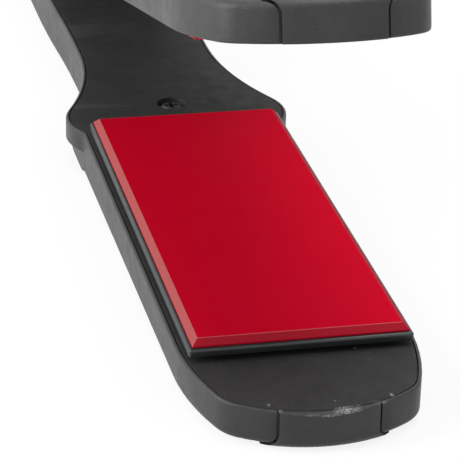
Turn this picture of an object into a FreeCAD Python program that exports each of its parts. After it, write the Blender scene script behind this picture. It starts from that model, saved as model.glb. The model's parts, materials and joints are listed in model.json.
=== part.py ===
"""Hair straightener with two floating plates: lower arm, upper arm and hinge, in millimetres.

Both arms are drawn in one "arm frame": the plates meet on z = 0, the plate's front edge is y = 0,
the hinge axis crosses (y = hingeY, z = 0) and the arm lies below the plate. The lower arm is then
tilted so that its outer panel lies flat on z = 0. The upper arm is turned over and opened about the
hinge; it is the same arm, but with a higher rim and a shallower shell.
"""
import FreeCAD, Part
import math
import os
import re

import Sketcher
from FreeCAD import Placement, Rotation, Vector

doc = FreeCAD.newDocument("HairStraightener")

# ---------------------------------------------------------------- driving dimensions
SIZES = [
    # plate and its carrier
    ("plateHalf", 20.0, "half width of the heated plate"),
    ("plateLength", 105.0, "length of the heated plate"),
    ("handleLength", 125.0, "hinge axis behind the plate's rear edge"),
    ("plateEdge", 1.4, "thickness of the plate's rim"),
    ("plateChamfer", 1.1, "chamfer round the working face"),
    ("coreInset", 3.5, "step from the plate's rim to its core"),
    ("coreDepth", 2.6, "underside of the plate's core"),
    ("flangeLip", 0.7, "carrier flange beyond the plate"),
    ("flangeBottom", 2.9, "underside of the carrier flange"),
    ("flangeRound", 0.5, "rounding of the carrier flange"),
    ("skirtInset", 1.7, "carrier skirt inside the plate's edge"),
    ("tabHalf", 4.0, "half width of the carrier's end tabs"),
    ("tabReach", 1.5, "length of the carrier's end tabs"),
    ("fitGap", 0.2, "gap round a piece that drops into a pocket"),
    ("slideGap", 0.3, "gap between carrier skirt and deck"),
    # heater stack
    ("heaterHalf", 8.0, "half width of the heater"),
    ("heaterStart", 17.5, "front end of the heater"),
    ("heaterThick", 1.8, "thickness of the heater"),
    ("sheetThick", 0.25, "thickness of the insulating sheet"),
    ("sheetLip", 1.0, "insulating sheet beyond the heater"),
    ("clipHalf", 5.0, "half width of the leaf clip"),
    ("clipThick", 0.3, "thickness of the leaf clip"),
    # arm outline, seen from above
    ("tipReach", 22.1, "tip in front of the plate's front edge"),
    ("tipRadius", 26.5, "shallow front curve of the tip"),
    ("cornerRadius", 8.0, "corner of the tip"),
    ("shoulderRadius", 60.0, "slow narrowing of the head towards the tip"),
    ("shoulderStart", 7.0, "start of the narrowing, behind the plate's front edge"),
    ("earRadius", 14.0, "radius of the ears"),
    ("earStep", 3.0, "hollow in front of the ears"),
    ("earDepth", 4.4, "depth of the ears below the rim"),
    ("neckHalf", 15.4, "half width of the neck"),
    ("neckRadius", 75.0, "hollow from ear to neck"),
    ("handleHalf", 16.8, "half width of the handle at the hinge"),
    ("handleCurve", 600.0, "radius of the handle's slow widening"),
    # arm section
    ("deckDrop", 4.0, "deck below the closing plane"),
    ("deckThick", 1.4, "thickness of the deck"),
    ("lowerDepth", 10.8, "outer face of the lower arm below the closing plane at the tip"),
    ("upperDepth", 8.3, "outer face of the upper arm beyond the closing plane at the tip"),
    ("rimRise", 2.7, "rim of the upper shell above its deck"),
    ("taperAngle", 1.2, "the arm deepens towards the hinge by this angle, degrees"),
    ("edgeRound", 1.5, "rounding of the outer edge"),
    ("rimRound", 0.45, "rounding of the shell's rim"),
    ("blankDepth", 22.0, "depth of blanks before the outer face is cut"),
    ("wall", 2.0, "side wall of the shell"),
    ("rim", 0.6, "rim of the shell outside the deck"),
    ("seam", 0.25, "groove between rim and deck"),
    ("handleCavityHalf", 12.2, "half width of the deep handle cavity"),
    # outer panel
    ("panelInset", 2.5, "panel inside the arm's outline"),
    ("panelSink", 0.5, "depth of the panel's seat"),
    ("panelProud", 0.45, "panel above the outer face"),
    ("panelGap", 0.5, "groove round the panel"),
    ("panelFit", 0.05, "gap between the panel and its seat"),
    ("tongueHalf", 9.4, "half width of the panel's tongue"),
    ("flareRadius", 2.2, "curve by which the tongue widens towards the panel"),
    ("cornerRound", 1.0, "rounding where the tongue meets the panel"),
    # hinge
    ("openAngle", 13.6, "angle between the arms at rest, degrees"),
    ("barrelRadius", 15.2, "hinge barrel and cheeks"),
    ("barrelHalf", 11.2, "half width of the hinge barrel"),
    ("barrelWall", 1.8, "wall of the hinge barrel"),
    ("cheekGap", 0.3, "gap between barrel and cheeks"),
    ("swingGap", 0.4, "gap round the barrel and the cheeks"),
    ("pinRadius", 2.5, "hinge pin"),
    ("pinHalf", 15.5, "half length of the hinge pin"),
    ("pinFit", 0.02, "clearance of the pin in the barrel"),
    ("pinRunning", 0.05, "clearance of the pin in the cheeks"),
    ("capRadius", 6.0, "seat of the hinge caps"),
    ("capDepth", 1.2, "depth of the cap's seat"),
    ("capFit", 0.1, "clearance round the caps"),
    ("springWire", 1.1, "wire of the hinge spring"),
    ("springTurns", 4.5, "turns of the hinge spring with both legs level"),
    ("springLean", 34.3, "rise of the leg that bears on the upper arm, degrees"),
    ("springFoot", 12.7, "leg that bears on the barrel"),
    ("springReach", 18.0, "leg that bears on the upper arm"),
    ("windowHalf", 5.0, "half width of the window in the barrel"),
    # cord gland
    ("glandRadius", 5.0, "neck of the gland"),
    ("glandFit", 0.05, "clearance of the gland in its collar"),
    ("flangeThick", 2.4, "thickness of the gland's flange"),
    ("cordBore", 3.1, "hole for the cord"),
    ("noseLength", 4.5, "length of the gland outside the collar"),
    # screws and bosses
    ("recessDepth", 1.9, "depth of the screw recess"),
    ("recessFloor", 1.0, "floor under the screw recess"),
    ("bossWall", 1.05, "wall round the recess"),
    ("headRadius", 2.6, "screw head"),
    ("headThick", 1.5, "thickness of the screw head"),
    ("shankRadius", 1.2, "screw shank"),
    ("shankFit", 0.05, "clearance of the shank in its hole"),
    ("shankLength", 3.0, "length of the screw shank"),
    ("postRadius", 3.1, "shell post under a deck screw"),
    # float springs
    ("leafHalf", 4.0, "half width of a float spring"),
    ("leafThick", 0.25, "thickness of a float spring"),
    ("leafFoot", 4.0, "foot of a float spring"),
    ("leafSlope", 5.0, "sloping run of a float spring"),
    ("leafCrown", 3.0, "half length of a float spring's crown"),
    ("leafSeat", 0.1, "gap above and below a float spring"),
    ("leafRib", 0.3, "height of the ribs beside a float spring"),
    ("floatFront", 22.0, "middle of the front float spring"),
    # electronics
    ("boardHalf", 11.4, "half width of the control board"),
    ("boardThick", 1.2, "thickness of the control board"),
    ("standoffX", 8.4, "board standoffs beside the middle"),
    ("standoffRadius", 2.0, "board standoff"),
    ("dialX", 5.0, "temperature dial beside the middle"),
    ("dialRadius", 6.5, "temperature dial"),
    ("dialHeight", 2.0, "dial above the deck"),
    ("dialShaft", 1.5, "shaft of the dial"),
    ("potHalf", 4.5, "half width of the potentiometer"),
    ("buttonX", -8.5, "power button beside the middle"),
    ("buttonRadius", 3.6, "power button"),
    ("buttonProud", 1.1, "button above the deck"),
    ("buttonTravel", 0.5, "travel of the button"),
    ("switchHalf", 3.0, "half width of the button's switch"),
    ("lensRadius", 1.1, "indicator lens"),
    # leads
    ("leadRadius", 0.7, "insulated lead"),
    ("leadX", 6.0, "leads beside the middle"),
    ("leadLift", 0.8, "middle of a lead above the cavity's floor"),
]

# sizes that follow from the driving ones
DERIVED = {
    "hingeY": "plateLength + handleLength",  # hinge axis behind the plate's front edge
    "carrierFloor": "coreDepth + heaterThick + sheetThick + clipThick + 0.05",
    "carrierBottom": "carrierFloor + 1.1",  # underside of the carrier
    "heaterLength": "plateLength - 35",  # length of the heater
    "sensorStart": "plateLength - 15",  # front end of the thermistor or fuse
    "headHalf": "plateHalf + 2",  # half width of the head
    "earHalf": "plateHalf + 4.4",  # half width at the ears
    "earY": "plateLength + 9",  # centre of the ears
    "originY": "plateLength + 10",  # the row's origin lies below this place
    "rearEnd": "hingeY + 20",  # rear end of the untrimmed outline
    "deckEnd": "hingeY - 17.5",  # rear end of the deck
    "lowerRim": "deckDrop",  # rim of the lower shell
    "upperRim": "deckDrop - rimRise",  # rim of the upper shell
    "lowerHeadFloor": "lowerDepth - 1.2",  # cavity floor in the head
    "upperHeadFloor": "upperDepth - 1.2",
    "lowerHandleFloor": "lowerDepth + 2",  # cavity floor in the handle
    "upperHandleFloor": "upperDepth + 2",
    "cavityEnd": "hingeY - 20",  # rear end of the cavity
    "handleCavityStart": "hingeY - 80",  # front end of the deep handle cavity
    "panelEnd": "hingeY - 24",  # rear end of the panel's seat
    "lipEnd": "hingeY - 8",  # rear end of the side walls beside the hinge
    "springRadius": "pinRadius + springWire / 2 + 0.3",  # mean radius of the hinge spring
    "collarRadius": "glandRadius + 4",  # collar that holds the gland
    "collarEnd": "hingeY + 26",  # rear end of the collar
    "glandFlange": "glandRadius + 1.6",  # flange that keeps the gland in
    "flangeStart": "hingeY + 18",  # front of the gland's flange
    "noseRadius": "glandRadius + 1.8",  # outer nose of the gland
    "recessRadius": "headRadius + 0.65",  # screw recess in the deck
    "neckScrewY": "plateLength + 15",  # deck screw behind the plate
    "handleScrewY": "hingeY - 38",  # deck screw in the handle
    "floatRear": "plateLength - 25",  # middle of the rear float spring
    "boardStart": "hingeY - 76",  # front end of the control board
    "boardEnd": "hingeY - 20.5",  # rear end of the control board
    "boardTop": "lowerHandleFloor - 2.8",  # top of the control board
    "standoffFront": "hingeY - 72",  # front standoffs
    "standoffRear": "hingeY - 46",  # rear standoffs
    "dialY": "hingeY - 27",  # temperature dial
    "potHeight": "boardTop - deckDrop - deckThick - 0.4",  # height of the potentiometer
    "buttonY": "hingeY - 29",  # power button
    "switchHeight": "boardTop - deckDrop - deckThick - buttonTravel - 0.9",  # button's switch
    "lensY": "hingeY - 37.5",  # indicator lens
}

sheet = doc.addObject("Spreadsheet::Sheet", "Dims")
for row, (alias, value, note) in enumerate(SIZES, start=1):
    sheet.set(f"A{row}", note)
    sheet.set(f"B{row}", str(value))
    sheet.setAlias(f"B{row}", alias)
doc.recompute()
ALIASES = {alias for alias, value, note in SIZES}


def formula(text):
    """Turn 'plateLength + fitGap' into an expression over the sheet's cells."""
    def expand(word):
        name = word.group()
        if name in DERIVED:
            return "(" + formula(DERIVED[name]) + ")"
        return "Dims." + name if name in ALIASES else name

    return re.sub(r"[A-Za-z]\w*", expand, str(text))


def size(text):
    """The value of an expression over the sheet."""
    return float(sheet.evalExpression(formula(text)))


def bind(item, **formulas):
    """Bind properties of an object; Base_x stands for Placement.Base.x."""
    for name, text in formulas.items():
        item.setExpression(name.replace("Base_", "Placement.Base."), formula(text))
    return item


# ---------------------------------------------------------------- Part workbench helpers
AXIS_TURNS = {
    "x": Rotation(Vector(0, 1, 0), 90),
    "y": Rotation(Vector(1, 0, 0), -90),
    "z": Rotation(),
}


def box(name, x, y, z):
    """A block; x, y and z are each a pair of formulas, low and high."""
    item = doc.addObject("Part::Box", name)
    return bind(item, Base_x=x[0], Base_y=y[0], Base_z=z[0],
                Length=f"{x[1]} - ({x[0]})", Width=f"{y[1]} - ({y[0]})",
                Height=f"{z[1]} - ({z[0]})")


def cylinder(name, axis, centre, radius, low, high):
    """A cylinder along an axis from low to high; centre is the pair of other coordinates."""
    item = doc.addObject("Part::Cylinder", name)
    item.Placement = Placement(Vector(), AXIS_TURNS[axis])
    where = dict(zip([letter for letter in "xyz" if letter != axis], centre))
    where[axis] = low
    return bind(item, Radius=radius, Height=f"{high} - ({low})",
                Base_x=where["x"], Base_y=where["y"], Base_z=where["z"])


def fuse(name, items):
    if len(items) == 1:
        return items[0]
    item = doc.addObject("Part::MultiFuse", name)
    item.Shapes = items
    return item


def cut(name, base, tools):
    item = doc.addObject("Part::Cut", name)
    item.Base = base
    item.Tool = fuse(name + "_tools", tools)
    return item


def common(name, base, tool):
    item = doc.addObject("Part::Common", name)
    item.Base = base
    item.Tool = tool
    return item


def girthedges(name, base, radius, chosen, kind="Part::Fillet"):
    """Fillet or chamfer the edges that chosen(edge) accepts."""
    doc.recompute()
    value = size(radius)
    item = doc.addObject(kind, name)
    item.Base = base
    item.Edges = [(number, value, value) for number, edge in enumerate(base.Shape.Edges, start=1)
                  if chosen(edge)]
    return item


def middle(edge):
    return edge.valueAt((edge.FirstParameter + edge.LastParameter) / 2)


def is_vertical(edge):
    ends = [vertex.Point for vertex in edge.Vertexes]
    return len(ends) == 2 and (ends[0] - ends[1]).cross(Vector(0, 0, 1)).Length < 0.001


# ---------------------------------------------------------------- Sketcher helpers
def polygon(sketch, corners):
    """A closed polygon whose corners are pairs of formulas."""
    points = [Vector(size(x), size(y), 0) for x, y in corners]
    count = len(points)
    for number in range(count):
        sketch.addGeometry(Part.LineSegment(points[number], points[(number + 1) % count]))
    for number in range(count):
        sketch.addConstraint(
            Sketcher.Constraint("Coincident", number, 2, (number + 1) % count, 1))
    for number, (x, y) in enumerate(corners):
        for kind, text, value, across in (("DistanceX", x, points[number].x, -2),
                                          ("DistanceY", y, points[number].y, -1)):
            if abs(value) < 1e-9:
                sketch.addConstraint(Sketcher.Constraint("PointOnObject", number, 1, across))
            else:
                index = sketch.addConstraint(
                    Sketcher.Constraint(kind, -1, 1, number, 1, value))
                sketch.setExpression(f"Constraints[{index}]", formula(text))


def circle(sketch, x, y, radius):
    """A circle with its centre and radius bound to formulas."""
    index = sketch.addGeometry(Part.Circle(Vector(size(x), size(y), 0), Vector(0, 0, 1),
                                           size(radius)))
    bound = sketch.addConstraint(Sketcher.Constraint("Radius", index, size(radius)))
    sketch.setExpression(f"Constraints[{bound}]", formula(radius))
    for kind, text, across in (("DistanceX", x, -2), ("DistanceY", y, -1)):
        if abs(size(text)) < 1e-9:
            sketch.addConstraint(Sketcher.Constraint("PointOnObject", index, 3, across))
        else:
            bound = sketch.addConstraint(Sketcher.Constraint(kind, -1, 1, index, 3, size(text)))
            sketch.setExpression(f"Constraints[{bound}]", formula(text))


def rectangle(sketch, x, y):
    polygon(sketch, [(x[0], y[0]), (x[1], y[0]), (x[1], y[1]), (x[0], y[1])])


def new_body(name):
    return doc.addObject("PartDesign::Body", name + "_body")


def sketch_on(body, name, role, lift="0"):
    """A sketch on one of the body's own origin planes, moved along the plane's normal."""
    sketch = body.newObject("Sketcher::SketchObject", name)
    plane = next(item for item in body.Origin.OriginFeatures if item.Role == role)
    sketch.AttachmentSupport = [(plane, "")]
    sketch.MapMode = "FlatFace"
    sketch.setExpression("AttachmentOffset.Base.z", formula(lift))
    return sketch


def pad(body, sketch, length, down=True):
    feature = body.newObject("PartDesign::Pad", sketch.Name + "_pad")
    feature.Profile = sketch
    feature.Reversed = down
    bind(feature, Length=length)
    return feature


def pocket(body, sketch, depth):
    """Cut down from the sketch; the volume has to change."""
    doc.recompute()
    before = body.Shape.Volume
    feature = body.newObject("PartDesign::Pocket", sketch.Name + "_pocket")
    feature.Profile = sketch
    bind(feature, Length=depth)
    doc.recompute()
    if before - body.Shape.Volume < 1e-6:
        raise ValueError(sketch.Name + " cuts nothing")
    return feature


def revolve(body, sketch, axis="V_Axis"):
    feature = body.newObject("PartDesign::Revolution", sketch.Name + "_turn")
    feature.Profile = sketch
    feature.ReferenceAxis = (sketch, [axis])
    feature.Angle = 360
    return feature


def dress(body, kind, radius, chosen):
    """A PartDesign fillet or chamfer on the edges of the body's tip that chosen accepts."""
    doc.recompute()
    base = body.Tip
    names = [f"Edge{number}" for number, edge in enumerate(base.Shape.Edges, start=1)
             if chosen(edge)]
    feature = body.newObject("PartDesign::" + kind, body.Name + "_" + kind.lower())
    feature.Base = (base, names)
    bind(feature, **{"Radius" if kind == "Fillet" else "Size": radius})
    return feature


# ---------------------------------------------------------------- where the arms stand
taper = size("taperAngle")
outerAtHinge = size("lowerDepth + panelProud") + size("hingeY + tipReach") * math.tan(
    math.radians(taper))
hingeHeight = outerAtHinge * math.cos(math.radians(taper))
toHinge = Placement(Vector(0, -size("hingeY"), 0), Rotation())
atHinge = Placement(Vector(0, size("hingeY - originY"), hingeHeight), Rotation())
turnedOver = Placement(Vector(), Rotation(Vector(0, 1, 0), 180))
lowerPlace = atHinge * Placement(Vector(), Rotation(Vector(1, 0, 0), taper)) * toHinge
upperPlace = (atHinge * Placement(Vector(), Rotation(Vector(1, 0, 0), taper - size("openAngle")))
              * toHinge * turnedOver)
ARMS = {"lower": lowerPlace, "upper": upperPlace}

subparts = {}


def finish(label, item, place):
    """Name a finished sub-part and put it in its arm."""
    item.Label = label
    item.Placement = place
    subparts[label] = item


def turned_piece(body, name, profile, x, y, z="0"):
    """A piece turned about a vertical axis: profile is a list of (radius, height) formulas."""
    sketch = sketch_on(body, name, "XZ_Plane")
    polygon(sketch, profile)
    revolve(body, sketch)
    return Placement(Vector(size(x), size(y), size(z)), Rotation())


# ---------------------------------------------------------------- the arm's outline
def arm_outline():
    """The plan of an arm: a chain of tangent arcs and lines, mirrored about the y axis."""
    sketch = doc.addObject("Sketcher::SketchObject", "arm_outline")
    front = Vector(0, size("tipRadius - tipReach"), 0)
    shoulder = Vector(size("headHalf - shoulderRadius"), size("shoulderStart"), 0)
    fromFront = size("tipRadius - cornerRadius")
    fromShoulder = size("shoulderRadius - cornerRadius")
    apart = shoulder - front
    along = (fromFront ** 2 - fromShoulder ** 2 + apart.Length ** 2) / (2 * apart.Length)
    across = math.sqrt(fromFront ** 2 - along ** 2)
    corner = front + apart / apart.Length * along + Vector(-apart.y, apart.x, 0) / apart.Length * across
    ear = Vector(size("earHalf - earRadius"), size("earY"), 0)
    stepX = size("headHalf + earStep")
    step = Vector(stepX, ear.y - math.sqrt(size("earRadius + earStep") ** 2
                                           - (stepX - ear.x) ** 2), 0)
    neckX = size("neckHalf + neckRadius")
    neck = Vector(neckX, ear.y + math.sqrt(size("earRadius + neckRadius") ** 2
                                           - (neckX - ear.x) ** 2), 0)
    widening = math.acos(1 - size("handleHalf - neckHalf") / 2 / size("handleCurve"))
    rise = size("handleCurve") * math.sin(widening)
    flare = Vector(size("neckHalf + handleCurve"), neck.y, 0)
    swell = Vector(size("handleHalf - handleCurve"), neck.y + 2 * rise, 0)

    def heading(start, end):
        return math.atan2(end.y - start.y, end.x - start.x)

    cornerStart = heading(front, corner)
    shoulderTurn = heading(shoulder, corner)
    earStart = heading(ear, step)
    earEnd = heading(ear, neck)
    # centre, radius, first angle, last angle; a falling angle runs clockwise
    arcs = {
        "corner": (corner, "cornerRadius", cornerStart, shoulderTurn),
        "shoulder": (shoulder, "shoulderRadius", shoulderTurn, 0.0),
        "step": (step, "earStep", math.pi, math.pi + earStart),
        "ear": (ear, "earRadius", earStart, earEnd),
        "neck": (neck, "neckRadius", math.pi + earEnd, math.pi),
        "flare": (flare, "handleCurve", math.pi, math.pi - widening),
        "swell": (swell, "handleCurve", -widening, 0.0),
    }
    lines = {
        "side": ("headHalf", shoulder.y, step.y),
        "rear": ("handleHalf", swell.y, size("rearEnd")),
    }
    chain = ["corner", "shoulder", "side", "step", "ear", "neck", "flare", "swell", "rear"]

    def constrain(*what):
        return sketch.addConstraint(Sketcher.Constraint(*what))

    def datum(text, *what):
        sketch.setExpression(f"Constraints[{constrain(*what, size(text))}]", formula(text))

    def add_arc(centre, radius, first, last):
        low, high = sorted((first, last))
        index = sketch.addGeometry(Part.ArcOfCircle(
            Part.Circle(centre, Vector(0, 0, 1), radius), low, high))
        return (index, 1, 2) if last > first else (index, 2, 1)

    frontArc = add_arc(front, size("tipRadius"), math.pi - cornerStart - 2 * math.pi, cornerStart)
    right = {}
    left = {}
    for name in chain:
        if name in arcs:
            centre, radius, first, last = arcs[name]
            right[name] = add_arc(centre, size(radius), first, last)
            mirrored = Vector(-centre.x, centre.y, 0)
            left[name] = add_arc(mirrored, size(radius), math.pi - first, math.pi - last)
        else:
            x, low, high = lines[name]
            for side, sign in ((right, 1), (left, -1)):
                side[name] = (sketch.addGeometry(Part.LineSegment(
                    Vector(sign * size(x), low, 0), Vector(sign * size(x), high, 0))), 1, 2)
    back = sketch.addGeometry(Part.LineSegment(Vector(size("handleHalf"), size("rearEnd"), 0),
                                               Vector(-size("handleHalf"), size("rearEnd"), 0)))

    constrain("PointOnObject", frontArc[0], 3, -2)
    datum("tipRadius", "Radius", frontArc[0])
    datum("tipRadius - tipReach", "DistanceY", -1, 1, frontArc[0], 3)
    previous = frontArc
    for name in chain:
        index, start, end = right[name]
        constrain("Tangent", previous[0], previous[2], index, start)
        if name in lines:
            constrain("Vertical", index)
            datum(lines[name][0], "DistanceX", -1, 1, index, end)
        else:
            datum(arcs[name][1], "Radius", index)
        previous = right[name]
    datum("shoulderStart", "DistanceY", -1, 1, right["shoulder"][0], 3)
    datum("earHalf - earRadius", "DistanceX", -1, 1, right["ear"][0], 3)
    datum("earY", "DistanceY", -1, 1, right["ear"][0], 3)
    datum("neckHalf", "DistanceX", -1, 1, right["neck"][0], right["neck"][2])
    constrain("Horizontal", right["neck"][0], 3, right["neck"][0], right["neck"][2])
    datum("rearEnd", "DistanceY", -1, 1, right["rear"][0], 2)

    constrain("Tangent", frontArc[0], frontArc[1], left["corner"][0], left["corner"][1])
    for number, name in enumerate(chain):
        index, start, end = left[name]
        if number:
            before = left[chain[number - 1]]
            constrain("Coincident", before[0], before[2], index, start)
        if name in arcs:
            constrain("Equal", right[name][0], index)
        constrain("Symmetric", right[name][0], right[name][2], index, end, -2)
    constrain("Coincident", right["rear"][0], 2, back, 1)
    constrain("Coincident", left["rear"][0], 2, back, 2)
    doc.recompute()
    return sketch


outline = arm_outline()


def prism(name, offset, top, bottom):
    """The arm's plan, offset outwards by a formula, from -top down to -bottom."""
    profile = outline
    if offset != "0":
        profile = doc.addObject("Part::Offset2D", name + "_plan")
        profile.Source = outline
        profile.Join = 2
        bind(profile, Value=offset)
    item = doc.addObject("Part::Extrusion", name)
    item.Base = profile
    item.DirMode = "Custom"
    item.Dir = Vector(0, 0, -1)
    item.Solid = True
    return bind(item, LengthFwd=f"{bottom} - ({top})", Base_z=f"-({top})")


def below_face(name, depth):
    """A block that removes all that lies below the arm's tapered face, which starts at depth."""
    item = doc.addObject("Part::Box", name)
    item.Length, item.Width, item.Height = 120, 400, 60
    corner = Placement(Vector(-60, -60, -60), Rotation())
    item.Placement = Placement(Vector(0, -size("tipReach"), -size(depth)),
                               Rotation(Vector(1, 0, 0), -taper)) * corner
    return item


def on_face(depth):
    """A test for edges that lie on the tapered face."""
    normal = Rotation(Vector(1, 0, 0), -taper).multVec(Vector(0, 0, 1))
    origin = Vector(0, -size("tipReach"), -size(depth))
    return lambda edge: all(abs((point - origin).dot(normal)) < 0.001
                            for point in (edge.Vertexes[0].Point, edge.Vertexes[-1].Point,
                                          middle(edge)))


def at_height(z):
    return lambda edge: all(abs(point.z - z) < 0.001 for point in (
        edge.Vertexes[0].Point, edge.Vertexes[-1].Point, middle(edge)))


def tapered(name, offset, top, depth, radius):
    """The arm's plan as a solid with a tapered outer face and a rounded outer edge."""
    blank = prism(name + "_prism", offset, top, "blankDepth")
    trimmed = cut(name + "_trim", blank, [below_face(name + "_below", depth)])
    return girthedges(name, trimmed, radius, on_face(depth))


def panel_region(arm, name, inset, gap):
    """The panel's plan as a tall block: the arm's plan shrunk, with a tongue down the tip's wall.

    The tongue widens by quarter arcs, seen from the front, where it turns on to the outer face.
    """
    half = f"tongueHalf - {gap}"
    spread = "tongueHalf + flareRadius"
    end = f"panelEnd - {gap}"
    face = prism(name + "_face", f"-({inset})", "0", "blankDepth")
    side = f"headHalf - ({inset})"
    keep = box(name + "_keep", (f"-({side})", side), ("-60", end), ("-40", "10"))
    stem = box(name + "_stem", (f"-({half})", half), ("-60", "-12"), ("-blankDepth", "0"))
    flareTop = f"-({arm}Depth - flareRadius)"
    flare = box(name + "_flare", (f"-({spread})", spread), ("-60", "-12"), ("-blankDepth", flareTop))
    hollows = [cylinder(f"{name}_{side}", "y", (x, flareTop), f"flareRadius + {gap}", "-61", "-11")
               for side, x in (("left", f"-({spread})"), ("right", spread))]
    joined = fuse(name + "_join", [common(name + "_front", face, keep), stem,
                                   cut(name + "_flared", flare, hollows)])
    corner = size(f"handleHalf - ({inset})")
    return girthedges(name, joined, "cornerRound", lambda edge: is_vertical(edge) and (
        (abs(abs(middle(edge).x) - size(spread)) < 0.01 and -30 < middle(edge).y < -12.5)
        or (abs(middle(edge).y - size(end)) < 0.01 and abs(middle(edge).x) > corner - 3)))


# ---------------------------------------------------------------- shells, panels and decks
def arm_blanks(arm):
    """Solids that an arm's shell, panel and deck are cut from."""
    rim = f"{arm}Rim"
    depth = f"{arm}Depth"
    clips = {name: box(f"{arm}_{name}_keep", (f"-({half})", half), ("-60", end), ("-30", "0"))
             for name, half, end in (("cavity", "headHalf - wall", "cavityEnd"),
                                     ("deck", "earHalf + 1", "deckEnd"),
                                     ("deck_seat", "earHalf + 1", "deckEnd + seam"))}
    underEars = [box(f"{arm}_under_ear_{side}", x, ("0", "hingeY"),
                     ("-40", f"-({rim} + earDepth)"))
                 for side, x in (("left", ("-40", "-headHalf")), ("right", ("headHalf", "40")))]

    def rounded_rim(name, offset, outer, radius):
        return girthedges(name, tapered(name + "_outer", offset, rim, outer, radius), "rimRound",
                          at_height(-size(rim)))

    seat = tapered(f"{arm}_panel_seat", "-panelSink", rim, f"{depth} - panelSink",
                   "edgeRound - panelSink")
    inside = tapered(f"{arm}_panel_inside", "-(panelSink - panelFit)", rim,
                     f"{depth} - panelSink + panelFit", "edgeRound - panelSink + panelFit")
    deckThrough = "deckDrop + deckThick"
    return {
        "shell": cut(f"{arm}_shell_ears", rounded_rim(f"{arm}_shell", "0", depth, "edgeRound"),
                     underEars),
        "panel": rounded_rim(f"{arm}_panel", "panelProud", f"{depth} + panelProud",
                             "edgeRound + panelProud"),
        "panelInside": inside,
        "panelSpace": cut(f"{arm}_panel_space", panel_region(arm, f"{arm}_opening", "panelInset",
                                                             "0"), [seat]),
        "filling": panel_region(arm, f"{arm}_filling", "panelInset + panelGap", "panelGap"),
        "cavity": common(f"{arm}_cavity", prism(f"{arm}_cavity_blank", "-wall", "deckDrop",
                                                f"{arm}HeadFloor"), clips["cavity"]),
        "deckSeat": common(f"{arm}_deck_seat", prism(f"{arm}_deck_seat_blank", "-rim", rim,
                                                     deckThrough), clips["deck_seat"]),
        "deck": common(f"{arm}_deck_blank", prism(f"{arm}_deck_plan", "-(rim + seam)", "deckDrop",
                                                  deckThrough), clips["deck"]),
        "handleCavity": box(f"{arm}_handle_cavity", ("-handleCavityHalf", "handleCavityHalf"),
                            ("handleCavityStart", "cavityEnd"),
                            (f"-{arm}HandleFloor", f"-{arm}HeadFloor")),
        "channel": box(f"{arm}_lead_channel", ("-8", "8"), ("cavityEnd - 5", "lipEnd"),
                       (f"-{arm}HandleFloor", "-deckDrop - deckThick - 1")),
    }


blanks = {arm: arm_blanks(arm) for arm in ARMS}
boltPoints = {"neck": ("neckScrewY", "HeadFloor"), "handle": ("handleScrewY", "HandleFloor")}
recessBottom = "deckDrop + recessDepth"
bossBottom = f"{recessBottom} + recessFloor"


def shell_posts(arm):
    """Posts for the deck screws and ribs beside the float springs, with the holes for the screws."""
    posts = []
    holes = []
    for name, (y, floor) in boltPoints.items():
        posts.append(cylinder(f"{arm}_{name}_post", "z", ("0", y), "postRadius",
                              f"-({arm}{floor} + 0.2)", f"-({bossBottom})"))
        holes.append(cylinder(f"{arm}_{name}_core", "z", ("0", y), "shankRadius + shankFit",
                              f"-({recessBottom} + shankLength + 0.3)", f"-({bossBottom}) + 1"))
    near = "leafHalf + fitGap"
    far = "leafHalf + fitGap + 1"
    for name, y in (("front", "floatFront"), ("rear", "floatRear")):
        for side, x in (("left", (f"-({far})", f"-({near})")), ("right", (near, far))):
            posts.append(box(f"{arm}_{name}_rib_{side}", x, (f"{y} - 8", f"{y} + 8"),
                             (f"-{arm}HeadFloor - 0.2", f"-{arm}HeadFloor + leafRib")))
    return posts, holes


def make_deck(arm, extraTools):
    boss = []
    tools = [box(f"{arm}_plate_opening",
                 ("-(plateHalf - skirtInset + slideGap)", "plateHalf - skirtInset + slideGap"),
                 ("skirtInset - slideGap", "plateLength - skirtInset + slideGap"),
                 ("-10", "0"))]
    for name, (y, floor) in boltPoints.items():
        boss.append(cylinder(f"{arm}_{name}_boss", "z", ("0", y), "recessRadius + bossWall",
                             f"-({bossBottom})", "-(deckDrop + 0.5)"))
        tools.append(cylinder(f"{arm}_{name}_recess", "z", ("0", y), "recessRadius",
                              f"-({recessBottom})", "0"))
        tools.append(cylinder(f"{arm}_{name}_hole", "z", ("0", y), "shankRadius + 0.2",
                              "-12", "0"))
    solid = fuse(f"{arm}_deck_join", [blanks[arm]["deck"]] + boss)
    finish(f"{arm}_deck", cut(f"{arm}_deck_cut", solid, tools + extraTools), ARMS[arm])


def make_panel(arm):
    outer = common(f"{arm}_panel_common", blanks[arm]["panel"], blanks[arm]["filling"])
    inner = [blanks[arm]["panelInside"], blanks[arm]["deckSeat"]]
    finish(f"{arm}_outer_panel", cut(f"{arm}_panel_cut", outer, inner), ARMS[arm])


def halves(name, item, upper):
    """The half of a solid above or below the closing plane."""
    z = ("0", "60") if upper else ("-60", "0")
    return common(name, item, box(name + "_half", ("-60", "60"), ("-60", "400"), z))


def barrel_hollows():
    inner = "barrelRadius - barrelWall"
    half = "barrelHalf - barrelWall"
    return [
        cylinder("barrel_hollow", "x", ("hingeY", "0"), inner, f"-({half})", half),
        cylinder("barrel_pin_bore", "x", ("hingeY", "0"), "pinRadius + pinFit",
                 "-(barrelHalf + 1)", "barrelHalf + 1"),
        cylinder("collar_bore", "y", ("0", "0"), "glandRadius + glandFit",
                 "hingeY", "collarEnd + 1"),
        cylinder("collar_groove", "y", ("0", "0"), "glandFlange + glandFit",
                 "flangeStart - 0.1", "flangeStart + flangeThick + 0.1"),
    ]


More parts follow.
